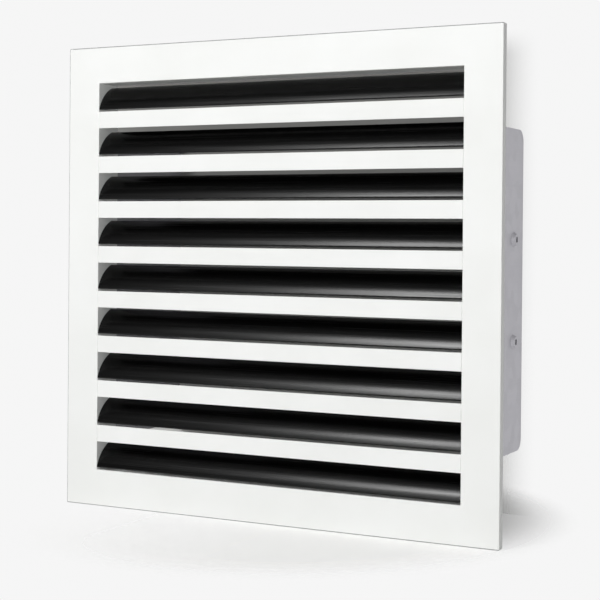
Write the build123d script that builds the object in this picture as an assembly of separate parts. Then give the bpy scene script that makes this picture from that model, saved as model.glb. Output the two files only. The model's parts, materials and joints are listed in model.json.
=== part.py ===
from build123d import *
from math import cos, degrees, radians, sin
import os

# Vent cover: a white sheet frame with flush bars and black curved blades behind its slots.
# Millimetres. X runs to the right, Y into the wall and Z up. The origin is the centre of the
# opening, in the plane where the frame's lip meets the wall. Depths are counted back from the
# front of the face.

# Face frame, folded from one sheet
FACE_W = 355.6
FACE_H = 355.6
BORDER_W = 28.0
FRAME_SHEET = 1.2
LIP_DEPTH = 6.4
THROAT_DEPTH = 26.0
FRAME_FOLD_R = 0.6
CORNER_R = 0.8

# Face bars, flat strips with both ends turned back
BAR_H = 12.7
BAR_SHEET = 1.2
BAR_TAB_DEPTH = 10.0
BAR_FOLD_R = 0.6
SLOT_H_WANTED = 22.0

# Curved blades, rolled from thin sheet to one arc, the lower edge closed with a hem. A lean is
# how far the outward normal tips up from straight ahead.
BLADE_SHEET = 0.8
BLADE_SET_BACK = 0.3
BLADE_LOW_LEAN_DEG = 20.0
BLADE_HIGH_LEAN_DEG = 70.0
BLADE_GAP_BELOW = 1.6
BLADE_GAP_ABOVE = 2.1
HEM_RETURN = 5.0
EAR_LENGTH = 10.0
EAR_DEPTH = 8.0
EAR_CORNER_R = 1.5

# Mounting plates on the outside of the throat
PLATE_SHEET = 1.2
PLATE_H = 241.3
PLATE_REACH = 123.4
PLATE_CLEAR_OF_FACE = 2.8
PLATE_DROP = 6.7
PLATE_REAR_R = 9.0
PLATE_FRONT_R = 3.0
HOLE_R = 2.3
HOLE_PITCH = 76.2
HOLE_FROM_REAR = 20.9
DIMPLE_BASE_R = 5.6
DIMPLE_TOP_R = 4.0
DIMPLE_RISE = 2.4

# Sizes that follow from the ones above
FRONT_Y = -LIP_DEPTH
OPENING_W = FACE_W - 2 * BORDER_W
OPENING_H = FACE_H - 2 * BORDER_W
SLOT_COUNT = max(1, round((OPENING_H + BAR_H) / (SLOT_H_WANTED + BAR_H)))
SLOT_H = (OPENING_H - (SLOT_COUNT - 1) * BAR_H) / SLOT_COUNT
PITCH = SLOT_H + BAR_H
THROAT_OUT_X = OPENING_W / 2 + FRAME_SHEET


def slot_bottom(index):
    """Height of the lower edge of a slot, counted from the top slot."""
    return OPENING_H / 2 - index * PITCH - SLOT_H


def wall(outline, depth):
    """A sketch of the face, taken back into the wall by the given depth."""
    front = Plane((0, FRONT_Y, 0), x_dir=(1, 0, 0), z_dir=(0, -1, 0))
    return extrude(front * outline, amount=-depth)


def face_frame():
    """Border, lip and throat of one folded sheet."""
    outer = Rectangle(FACE_W, FACE_H)
    opening = Rectangle(OPENING_W, OPENING_H)
    throat_out = Rectangle(OPENING_W + 2 * FRAME_SHEET, OPENING_H + 2 * FRAME_SHEET)
    lip_in = Rectangle(FACE_W - 2 * FRAME_SHEET, FACE_H - 2 * FRAME_SHEET)
    border = wall(outer - opening, FRAME_SHEET)
    lip = wall(outer - lip_in, LIP_DEPTH)
    throat = wall(throat_out - opening, THROAT_DEPTH)
    frame = border + lip + throat
    corners = [e for e in frame.edges().filter_by(Axis.Y)
               if abs(abs(e.center().X) - FACE_W / 2) < 0.01]
    frame = fillet(corners, CORNER_R)
    front = [e for e in frame.edges() if abs(e.center().Y - FRONT_Y) < 0.01]
    return fillet(front, FRAME_FOLD_R)


def face_bar(index):
    """A flat bar under one slot, its ends folded back onto the throat's side walls."""
    half = OPENING_W / 2
    inner = half - BAR_SHEET
    back = FRONT_Y + BAR_TAB_DEPTH
    inside_y = FRONT_Y + BAR_SHEET
    outline = Polyline(
        (-half, back), (-half, FRONT_Y), (half, FRONT_Y), (half, back),
        (inner, back), (inner, inside_y), (-inner, inside_y), (-inner, back), close=True)
    section = make_face(outline)
    folds = [v for v in section.vertices() if abs(v.Y - FRONT_Y) < 0.01]
    section = fillet(folds, BAR_FOLD_R)
    bottom = slot_bottom(index) - BAR_H
    return extrude(Plane.XY.offset(bottom) * section, amount=BAR_H)


def on_arc(centre, radius, lean):
    """Point of a blade arc whose outward normal has the given lean."""
    a = radians(lean)
    return (centre[0] - radius * cos(a), centre[1] + radius * sin(a))


def blade_arc(centre, radius, low, high):
    """Arc from one lean of the normal to another, running up the blade."""
    return CenterArc(centre, radius, 180 - low, low - high)


def blade_layout():
    """Centre of the blade's arc, as depth and height in a slot, and its outer radius."""
    low = radians(BLADE_LOW_LEAN_DEG)
    high = radians(BLADE_HIGH_LEAN_DEG)
    rise = SLOT_H - BLADE_GAP_BELOW - BLADE_GAP_ABOVE
    radius = (rise - BLADE_SHEET * (1 + sin(low))) / (sin(high) - sin(low))
    hem_turn = radius - BLADE_SHEET
    centre = (BLADE_SET_BACK + BLADE_SHEET + hem_turn * cos(low),
              BLADE_GAP_BELOW + BLADE_SHEET - hem_turn * sin(low))
    return centre, radius


def blade_section():
    """Closed section of a curved blade in depth and height, with the hem folded inside."""
    centre, radius = blade_layout()
    inner = radius - BLADE_SHEET
    hem_in = inner - BLADE_SHEET
    low, high = BLADE_LOW_LEAN_DEG, BLADE_HIGH_LEAN_DEG
    hem_end = low + degrees(HEM_RETURN / inner)
    turn = CenterArc(on_arc(centre, inner, low), BLADE_SHEET, 180 - low, 180)
    return make_face([
        blade_arc(centre, radius, low, high),
        Line(on_arc(centre, radius, high), on_arc(centre, inner, high)),
        blade_arc(centre, inner, hem_end, high),
        Line(on_arc(centre, inner, hem_end), on_arc(centre, hem_in, hem_end)),
        blade_arc(centre, hem_in, low, hem_end),
        turn])


def ear_section():
    """Ear turned in from the blade's middle, which lies flat on the throat's side wall."""
    centre, radius = blade_layout()
    root = radius - BLADE_SHEET / 2
    tip = radius - BLADE_SHEET - EAR_DEPTH
    middle = (BLADE_LOW_LEAN_DEG + BLADE_HIGH_LEAN_DEG) / 2
    half = degrees(EAR_LENGTH / 2 / radius)
    low, high = middle - half, middle + half
    ear = make_face([
        blade_arc(centre, root, low, high),
        Line(on_arc(centre, root, high), on_arc(centre, tip, high)),
        Line(on_arc(centre, tip, high), on_arc(centre, tip, low)),
        Line(on_arc(centre, tip, low), on_arc(centre, root, low))])
    tip_corners = ear.vertices().sort_by(lambda v: (v.X - centre[0])**2 + (v.Y - centre[1])**2)[:2]
    return fillet(tip_corners, EAR_CORNER_R)


def curved_blade(index):
    """Black blade of one slot, as long as the throat is wide, with an ear at each end."""
    slot = Plane((0, FRONT_Y, slot_bottom(index)), x_dir=(0, 1, 0), z_dir=(1, 0, 0))
    blade = extrude(slot * blade_section(), amount=OPENING_W / 2, both=True)
    right = extrude(slot.offset(OPENING_W / 2) * ear_section(), amount=-BLADE_SHEET)
    left = extrude(slot.offset(-OPENING_W / 2) * ear_section(), amount=BLADE_SHEET)
    return blade + right + left


def dimple_section():
    """Half section of a pressed screw dimple: distance from its axis and height above the plate."""
    top = PLATE_SHEET + DIMPLE_RISE
    return make_face(Polyline(
        (DIMPLE_BASE_R, 0), (DIMPLE_BASE_R, PLATE_SHEET), (DIMPLE_TOP_R, top), (HOLE_R, top),
        (HOLE_R, DIMPLE_RISE), (DIMPLE_TOP_R, DIMPLE_RISE), close=True))


def mounting_plate():
    """Right-hand plate on the throat's outer side, with its rear corners rounded."""
    front_y = FRONT_Y + FRAME_SHEET + PLATE_CLEAR_OF_FACE
    rear_y = FRONT_Y + PLATE_REACH
    length = rear_y - front_y
    seat = Plane((THROAT_OUT_X, (front_y + rear_y) / 2, -PLATE_DROP),
                 x_dir=(0, 1, 0), z_dir=(1, 0, 0))
    outline = Rectangle(length, PLATE_H)
    by_depth = outline.vertices().sort_by(Axis.X)
    outline = fillet(by_depth[2:], PLATE_REAR_R)
    outline = fillet(outline.vertices().sort_by(Axis.X)[:2], PLATE_FRONT_R)
    hole_at = length / 2 - HOLE_FROM_REAR
    spots = [(hole_at, -HOLE_PITCH / 2), (hole_at, HOLE_PITCH / 2)]
    for spot in spots:
        outline -= Pos(*spot) * Circle(DIMPLE_BASE_R)
    plate = extrude(seat * outline, amount=PLATE_SHEET)
    dimple = revolve(Plane.XZ * dimple_section(), Axis.Z)
    for spot in spots:
        plate += seat * Pos(spot[0], spot[1], 0) * dimple
    return plate


def build():
    """All pieces by name."""
    pieces = {"face_frame": face_frame()}
    for i in range(SLOT_COUNT - 1):
        pieces[f"face_bar_{i + 1}"] = face_bar(i)
    for i in range(SLOT_COUNT):
        pieces[f"curved_blade_{i + 1}"] = curved_blade(i)
    plate = mounting_plate()
    pieces["mounting_plate_right"] = plate
    pieces["mounting_plate_left"] = mirror(plate, Plane.YZ)
    return pieces


os.makedirs("parts", exist_ok=True)
for name, piece in build().items():
    export_step(piece, f"parts/{name}.step")
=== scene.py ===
"""Looks of the vent cover: painted and zinc-coated sheet metal on a pale studio floor.

Everything is in metres in the model's own frame: X to the right, Y into the wall, Z up, and the
face looks to -Y.
"""

import json
import math

import bpy
import numpy as np
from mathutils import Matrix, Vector


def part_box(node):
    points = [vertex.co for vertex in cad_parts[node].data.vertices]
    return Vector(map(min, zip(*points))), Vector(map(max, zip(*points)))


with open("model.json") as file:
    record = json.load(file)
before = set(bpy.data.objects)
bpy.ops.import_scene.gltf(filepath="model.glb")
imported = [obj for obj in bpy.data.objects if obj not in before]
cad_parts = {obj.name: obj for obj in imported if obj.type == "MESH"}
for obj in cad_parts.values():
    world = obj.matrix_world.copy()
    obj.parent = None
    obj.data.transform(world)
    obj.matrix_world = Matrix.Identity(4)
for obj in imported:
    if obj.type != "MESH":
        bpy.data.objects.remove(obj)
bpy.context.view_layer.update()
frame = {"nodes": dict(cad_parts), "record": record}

MM = 0.001
FACE_LOW, FACE_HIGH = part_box("face_frame")
FLOOR_Z = FACE_LOW.z
PLATE_REAR_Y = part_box("mounting_plate_right")[1].y

# Patterns of the finishes: the width of one bump, mark or crystal, and how far a long one is drawn
# out, as the share of its width that is left along it
POWDER_PEEL_W = 2.0 * MM
POWDER_DRIFT_W = 70 * MM
ENAMEL_PEEL_W = 1.6 * MM
ROLL_MARK_W = 1.0 * MM
ROLL_MARK_DRAW = 0.012
CRYSTAL_W = 9 * MM
GRAIN_W = 0.8 * MM
GRAIN_DRAW = 0.03
FIBRE_W = 3 * MM

# Painted shade along the face's fold, a thin grey line at its top, left and lower edges: where it
# starts to go and has gone, counted in from the edge and back from the front
FOLD_SHADE_IN = (0.4 * MM, 0.9 * MM)
FOLD_SHADE_BACK = (0.5 * MM, 0.9 * MM)

# Camera, matched to the corners of the face in the photograph
PHOTO_PX = 600
FOCAL_PX = 1420.5
SENSOR_MM = 36.0
HORIZON_PX = 244.7
CAMERA_AT = (0.4887, -0.9183, 0.0348)
CAMERA_TURN_DEG = 26.916
CAMERA_DIP_DEG = 0.456
CAMERA_ROLL_DEG = 0.452

# Stage: a floor that goes over into a white horizon, and a grey card of painted shade behind the
# opening. Fades give where a sheet starts to go and where it has gone.
FLOOR_HALF_W = 3.0
FLOOR_LIFT = 0.28
FLOOR_MIDDLE = (-0.02, 0.05)
FLOOR_FADE = (0.165, 0.23)
FLOOR_FADE_LEFT = (0.06, -0.17)
CARD_BEHIND_PLATES = 0.001
CARD_FADE_LEFT = (-0.235, -0.265)
# The card's right fade is a painted soft shadow beside the frame's right edge
CARD_FADE_RIGHT = (0.100, 0.165)
CARD_FADE_TOP = (0.170, 0.193)
# Painted shade on the card: darker grey at the top, paler towards its foot
CARD_PALE = (-0.120, 0.100)

# Surroundings that the camera and a gloss see. The horizon goes over into the ceiling with the rise
# of the line of sight, and the pale ceiling goes over into a dark one with its way to the left.
HORIZON_WHITE = 0.92
HORIZON_FADE = (0.22, 0.45)
CEILING_PALE = 0.75
CEILING_FADE = (0.30, 0.05)

# Lamps: bearing from straight ahead (right is positive), height angle, distance in metres, width
# and height, and power in watts
FRONT_LAMP = {"bearing": 14, "rise": 4, "far": 2.4, "size": (1.3, 0.9), "watts": 24.5}
BAND_LAMP = {"bearing": -24, "rise": 42, "far": 2.2, "size": (0.39, 0.39), "watts": 21.5}
ROOM_LIGHT = 0.18

# Colour sockets of a Mix node, which share their names with its other sockets
MIX_FIRST, MIX_SECOND, MIX_RESULT = 6, 7, 2


def linear(hex_colour):
    """Linear RGBA of an sRGB hex value."""
    share = np.array([int(hex_colour[i:i + 2], 16) for i in (0, 2, 4)]) / 255
    value = np.where(share <= 0.04045, share / 12.92, ((share + 0.055) / 1.055) ** 2.4)
    return (*value.tolist(), 1.0)


def add(tree, kind, settings=None, links=None):
    """Add a node; settings fill its sockets or properties, links bring sockets to it."""
    node = tree.nodes.new(kind)
    for key, value in (settings or {}).items():
        if isinstance(key, int) or key in node.inputs:
            node.inputs[key].default_value = value
        else:
            setattr(node, key, value)
    for key, source in (links or {}).items():
        tree.links.new(source, node.inputs[key])
    return node


def new_finish(name):
    """A new material, its empty node tree and the object's own coordinates."""
    finish = bpy.data.materials.new(name)
    finish.use_nodes = True
    tree = finish.node_tree
    tree.nodes.clear()
    place = add(tree, "ShaderNodeTexCoord").outputs["Object"]
    return finish, tree, place


def direct_rays(tree):
    """A socket that is 1 for rays from the camera, off a gloss or through glass, else 0."""
    ray = add(tree, "ShaderNodeLightPath").outputs
    seen = ray["Is Camera Ray"]
    for way in ("Is Glossy Ray", "Is Transmission Ray"):
        seen = add(tree, "ShaderNodeMath", {"operation": "MAXIMUM"},
                   {0: seen, 1: ray[way]}).outputs["Value"]
    return seen


def fade(tree, *falls):
    """The product of smooth falls, each from 1 to 0 while a value goes from its start to its end.

    A fall is the value's socket with the start and the end.
    """
    share = None
    for value, (start, gone) in falls:
        full, none = ("To Min", "To Max") if start < gone else ("To Max", "To Min")
        fall = add(tree, "ShaderNodeMapRange", {
            "interpolation_type": "SMOOTHSTEP", "From Min": min(start, gone),
            "From Max": max(start, gone), full: 1.0, none: 0.0}, {"Value": value})
        if share is not None:
            tree.links.new(share, fall.inputs[full])
        share = fall.outputs["Result"]
    return share


def white_powder_coat():
    """Polyester powder coat, baked on steel sheet.

    The powder flows out as it bakes, so the eye sees a clean white with a satin gloss, a shallow
    orange peel of about 2 mm and a slightly uneven sheen from one hand's width to the next. Along
    the top, left and lower fold of the face runs a thin grey line of painted shade.
    """
    finish, tree, place = new_finish("white_powder_coat")
    peel = add(tree, "ShaderNodeTexNoise",
               {"Scale": 1 / POWDER_PEEL_W, "Detail": 2.0, "Roughness": 0.45}, {"Vector": place})
    drift = add(tree, "ShaderNodeTexNoise", {"Scale": 1 / POWDER_DRIFT_W, "Detail": 3.0},
                {"Vector": place}).outputs["Fac"]
    tone = add(tree, "ShaderNodeValToRGB", links={"Fac": drift})
    for stop, position, colour in zip(tone.color_ramp.elements, (0.30, 0.72), ("EFF0EE", "F4F5F4")):
        stop.position = position
        stop.color = linear(colour)
    at = add(tree, "ShaderNodeSeparateXYZ", links={"Vector": place}).outputs
    left = add(tree, "ShaderNodeMath", {"operation": "MULTIPLY", 1: -1.0},
               {0: at["X"]}).outputs["Value"]
    up_or_down = add(tree, "ShaderNodeMath", {"operation": "ABSOLUTE"},
                     {0: at["Z"]}).outputs["Value"]
    reach = add(tree, "ShaderNodeMath", {"operation": "MAXIMUM"},
                {0: left, 1: up_or_down}).outputs["Value"]
    # Painted shade: a thin grey line on the front of the face along its top, left and lower fold
    edge = fade(tree, (reach, [FACE_HIGH.x - inset for inset in FOLD_SHADE_IN]),
                (at["Y"], [FACE_LOW.y + depth for depth in FOLD_SHADE_BACK]))
    painted_fold_shade = add(tree, "ShaderNodeMix", {"data_type": "RGBA", MIX_SECOND: linear("8E9090")},
               {0: edge, MIX_FIRST: tone.outputs["Color"]})
    sheen = add(tree, "ShaderNodeMapRange", {
        "From Min": 0.3, "From Max": 0.7, "To Min": 0.34, "To Max": 0.44}, {"Value": drift})
    bump = add(tree, "ShaderNodeBump", {"Strength": 0.25, "Distance": 0.03 * MM},
               {"Height": peel.outputs["Fac"]})
    coat = add(tree, "ShaderNodeBsdfPrincipled", {"IOR": 1.5}, {
        "Base Color": painted_fold_shade.outputs[MIX_RESULT], "Roughness": sheen.outputs["Result"],
        "Normal": bump.outputs["Normal"]})
    add(tree, "ShaderNodeOutputMaterial", links={"Surface": coat.outputs["BSDF"]})
    return finish


def black_baked_enamel():
    """Black baking enamel, sprayed on roll-formed steel.

    The film is thin and even, so the eye sees deep black with one soft band of light along the
    curve, broken only by a faint peel and by the long marks that the rolls left under the film.
    """
    finish, tree, place = new_finish("black_baked_enamel")
    peel = add(tree, "ShaderNodeTexNoise",
               {"Scale": 1 / ENAMEL_PEEL_W, "Detail": 2.0, "Roughness": 0.45}, {"Vector": place})
    # Roll marks are finer than a tenth of a millimetre, drawn 1 mm wide so that they show
    along = add(tree, "ShaderNodeMapping", {"Scale": (ROLL_MARK_DRAW, 1.0, 1.0)}, {"Vector": place})
    marks = add(tree, "ShaderNodeTexNoise", {"Scale": 1 / ROLL_MARK_W, "Detail": 2.0},
                {"Vector": along.outputs["Vector"]})
    sheen = add(tree, "ShaderNodeMapRange", {
        "From Min": 0.3, "From Max": 0.7, "To Min": 0.22, "To Max": 0.28},
                {"Value": marks.outputs["Fac"]})
    bump = add(tree, "ShaderNodeBump", {"Strength": 0.15, "Distance": 0.02 * MM},
               {"Height": peel.outputs["Fac"]})
    enamel = add(tree, "ShaderNodeBsdfPrincipled", {
        "Base Color": linear("040404"), "IOR": 1.5, "Specular IOR Level": 0.22},
                 {"Roughness": sheen.outputs["Result"], "Normal": bump.outputs["Normal"]})
    add(tree, "ShaderNodeOutputMaterial", links={"Surface": enamel.outputs["BSDF"]})
    return finish


def zinc_coated_steel():
    """Hot-dip zinc on cold-rolled steel, skin-passed to a satin.

    The rolls flatten the zinc crystals, so the eye sees a plain cool grey with a ghost of the
    crystals, some 9 mm wide, and a fine grain along the rolling direction.
    """
    finish, tree, place = new_finish("zinc_coated_steel")
    crystals = add(tree, "ShaderNodeTexVoronoi", {"Scale": 1 / CRYSTAL_W}, {"Vector": place})
    shade = add(tree, "ShaderNodeSeparateColor", links={"Color": crystals.outputs["Color"]})
    tone = add(tree, "ShaderNodeValToRGB", links={"Fac": shade.outputs["Red"]})
    for stop, colour in zip(tone.color_ramp.elements, ("B5B4B9", "BBBABF")):
        stop.color = linear(colour)
    # Rolling grain is about 0.1 mm wide, drawn 0.8 mm wide so that it shows
    along = add(tree, "ShaderNodeMapping", {"Scale": (1.0, GRAIN_DRAW, 1.0)}, {"Vector": place})
    grain = add(tree, "ShaderNodeTexNoise", {"Scale": 1 / GRAIN_W, "Detail": 2.0},
                {"Vector": along.outputs["Vector"]}).outputs["Fac"]
    sheen = add(tree, "ShaderNodeMapRange", {
        "From Min": 0.25, "From Max": 0.75, "To Min": 0.56, "To Max": 0.62}, {"Value": grain})
    bump = add(tree, "ShaderNodeBump", {"Strength": 0.2, "Distance": 0.02 * MM}, {"Height": grain})
    zinc = add(tree, "ShaderNodeBsdfPrincipled", {"Metallic": 1.0}, {
        "Base Color": tone.outputs["Color"], "Roughness": sheen.outputs["Result"],
        "Normal": bump.outputs["Normal"]})
    add(tree, "ShaderNodeOutputMaterial", links={"Surface": zinc.outputs["BSDF"]})
    return finish


def floor_paper():
    """Matt white paper roll, laid flat.

    It takes the cover's soft shadow. The camera and a gloss see it lifted towards white, and far
    from the cover and to its left they see the horizon in its stead.
    """
    finish, tree, place = new_finish("floor_paper")
    fibre = add(tree, "ShaderNodeTexNoise", {"Scale": 1 / FIBRE_W, "Detail": 3.0},
                {"Vector": place})
    bump = add(tree, "ShaderNodeBump", {"Strength": 0.1, "Distance": 0.02 * MM},
               {"Height": fibre.outputs["Fac"]})
    paper = add(tree, "ShaderNodeBsdfDiffuse", {"Color": linear("EDEDEB")},
                {"Normal": bump.outputs["Normal"]})
    seen = direct_rays(tree)
    lift = add(tree, "ShaderNodeMath", {"operation": "MULTIPLY", 1: FLOOR_LIFT}, {0: seen})
    glow = add(tree, "ShaderNodeEmission", {"Color": (1, 1, 1, 1)},
               {"Strength": lift.outputs["Value"]})
    sheet = add(tree, "ShaderNodeAddShader",
                links={0: paper.outputs["BSDF"], 1: glow.outputs["Emission"]})
    away = add(tree, "ShaderNodeVectorMath", {
        "operation": "DISTANCE", 1: (*FLOOR_MIDDLE, FLOOR_Z)}, {0: place}).outputs["Value"]
    at_x = add(tree, "ShaderNodeSeparateXYZ", links={"Vector": place}).outputs["X"]
    near = fade(tree, (away, FLOOR_FADE), (at_x, FLOOR_FADE_LEFT))
    gone = add(tree, "ShaderNodeMath", {"operation": "SUBTRACT", "use_clamp": True},
               {0: seen, 1: near}).outputs["Value"]
    clear = add(tree, "ShaderNodeBsdfTransparent")
    surface = add(tree, "ShaderNodeMixShader", links={
        "Fac": gone, 1: sheet.outputs["Shader"], 2: clear.outputs["BSDF"]})
    add(tree, "ShaderNodeOutputMaterial", links={"Surface": surface.outputs["Shader"]})
    return finish


def painted_shade_card():
    """Grey card of painted shade behind the opening, darker at the top, paler towards its foot.

    It is there only for the camera and a gloss and only from its front, so that it blocks no light
    or view from behind. Its edges go over into the horizon, the right one as a painted soft shadow.
    """
    finish, tree, place = new_finish("painted_shade_card")
    at = add(tree, "ShaderNodeSeparateXYZ", links={"Vector": place}).outputs
    # Painted shade: darker grey at the top, paler towards the foot
    tone = add(tree, "ShaderNodeMix", {
        "data_type": "RGBA", MIX_FIRST: linear("8C8C8A"), MIX_SECOND: linear("ECECEA")},
               {0: fade(tree, (at["Z"], CARD_PALE))})
    card = add(tree, "ShaderNodeBsdfDiffuse", links={"Color": tone.outputs[MIX_RESULT]})
    side = add(tree, "ShaderNodeNewGeometry")
    front = add(tree, "ShaderNodeMath", {"operation": "SUBTRACT", "use_clamp": True},
                {0: direct_rays(tree), 1: side.outputs["Backfacing"]}).outputs["Value"]
    # The right fade paints a soft shadow beside the frame's right edge
    near = fade(tree, (at["X"], CARD_FADE_LEFT), (at["X"], CARD_FADE_RIGHT),
                (at["Z"], CARD_FADE_TOP))
    there = add(tree, "ShaderNodeMath", {"operation": "MULTIPLY"}, {0: front, 1: near})
    clear = add(tree, "ShaderNodeBsdfTransparent")
    surface = add(tree, "ShaderNodeMixShader", links={
        "Fac": there.outputs["Value"], 1: clear.outputs["BSDF"], 2: card.outputs["BSDF"]})
    add(tree, "ShaderNodeOutputMaterial", links={"Surface": surface.outputs["Shader"]})
    return finish


def stage_sheet(name, corner, along, up, finish):
    """A flat sheet of the stage: the corner plus s times one edge plus t times the other."""
    steps = np.array([(0, 0), (1, 0), (1, 1), (0, 1)], float)
    points = np.asarray(corner) + steps @ np.array([along, up], float)
    mesh = bpy.data.meshes.new(name)
    mesh.from_pydata(points.tolist(), [], [(0, 1, 2, 3)])
    mesh.materials.append(finish)
    sheet = bpy.data.objects.new(name, mesh)
    bpy.context.scene.collection.objects.link(sheet)


def build_stage():
    """The floor at the foot of the cover, and the painted-shade card behind its mounting plates."""
    stage_sheet("floor", (-FLOOR_HALF_W, -FLOOR_HALF_W, FLOOR_Z), (2 * FLOOR_HALF_W, 0, 0),
                (0, 2 * FLOOR_HALF_W, 0), floor_paper())
    left, right, top = CARD_FADE_LEFT[1], CARD_FADE_RIGHT[1], CARD_FADE_TOP[1]
    stage_sheet("card", (left, PLATE_REAR_Y + CARD_BEHIND_PLATES, FLOOR_Z), (right - left, 0, 0),
                (0, 0, top - FLOOR_Z), painted_shade_card())


def softbox(name, bearing, rise, far, size, watts):
    """A rectangular lamp that faces the middle of the cover from a bearing and a height angle."""
    middle = (FACE_LOW + FACE_HIGH) / 2
    turn, lift = math.radians(bearing), math.radians(rise)
    out = Vector((math.sin(turn) * math.cos(lift), -math.cos(turn) * math.cos(lift),
                  math.sin(lift)))
    data = bpy.data.lights.new(name, "AREA")
    data.shape = "RECTANGLE"
    data.size, data.size_y = size
    data.energy = watts
    lamp = bpy.data.objects.new(name, data)
    lamp.location = middle + far * out
    lamp.rotation_euler = out.to_track_quat("Z", "Y").to_euler()
    bpy.context.scene.collection.objects.link(lamp)


def light_the_room():
    """Even room light, a broad lamp in front and a smaller one above, whose band the blades show.

    The camera and a gloss see a white horizon instead of the room light, under a ceiling that is
    dark to the left and pale to the right.
    """
    softbox("front_lamp", **FRONT_LAMP)
    softbox("band_lamp", **BAND_LAMP)
    world = bpy.data.worlds.new("room")
    world.use_nodes = True
    tree = world.node_tree
    tree.nodes.clear()
    sight = add(tree, "ShaderNodeTexCoord").outputs["Generated"]
    way = add(tree, "ShaderNodeSeparateXYZ", links={"Vector": sight}).outputs
    ceiling = add(tree, "ShaderNodeMath", {"operation": "MULTIPLY", 1: CEILING_PALE},
                  {0: fade(tree, (way["X"], CEILING_FADE))})
    horizon = add(tree, "ShaderNodeMapRange", {
        "interpolation_type": "SMOOTHSTEP", "From Min": HORIZON_FADE[0],
        "From Max": HORIZON_FADE[1], "To Min": HORIZON_WHITE},
                  {"Value": way["Z"], "To Max": ceiling.outputs["Value"]})
    level = add(tree, "ShaderNodeMapRange", {"To Min": ROOM_LIGHT},
                {"Value": direct_rays(tree), "To Max": horizon.outputs["Result"]})
    air = add(tree, "ShaderNodeBackground", {"Color": (1, 1, 1, 1)},
              {"Strength": level.outputs["Result"]})
    add(tree, "ShaderNodeOutputWorld", links={"Surface": air.outputs["Background"]})
    bpy.context.scene.world = world


def set_camera():
    """The photograph's camera: a long lens right of the face, nearly level with its middle."""
    data = bpy.data.cameras.new("camera")
    data.sensor_width = SENSOR_MM
    data.lens = FOCAL_PX / PHOTO_PX * SENSOR_MM
    data.shift_y = (HORIZON_PX - PHOTO_PX / 2) / PHOTO_PX
    camera = bpy.data.objects.new("camera", data)
    camera.location = CAMERA_AT
    camera.rotation_euler = (math.radians(90 - CAMERA_DIP_DEG), math.radians(-CAMERA_ROLL_DEG),
                             math.radians(CAMERA_TURN_DEG))
    bpy.context.scene.collection.objects.link(camera)
    bpy.context.scene.camera = camera


def dress_the_cover():
    """Give every node the finish of its material slot."""
    finishes = {"white_paint": white_powder_coat(), "black_paint": black_baked_enamel(),
                "zinc_plate": zinc_coated_steel()}
    for subpart in frame["record"]["subparts"]:
        node = frame["nodes"][subpart["node"]]
        for slot in node.material_slots:
            slot.material = finishes[subpart["material_slot"]]


set_camera()
dress_the_cover()
build_stage()
light_the_room()
bpy.context.scene.view_settings.view_transform = "Standard"
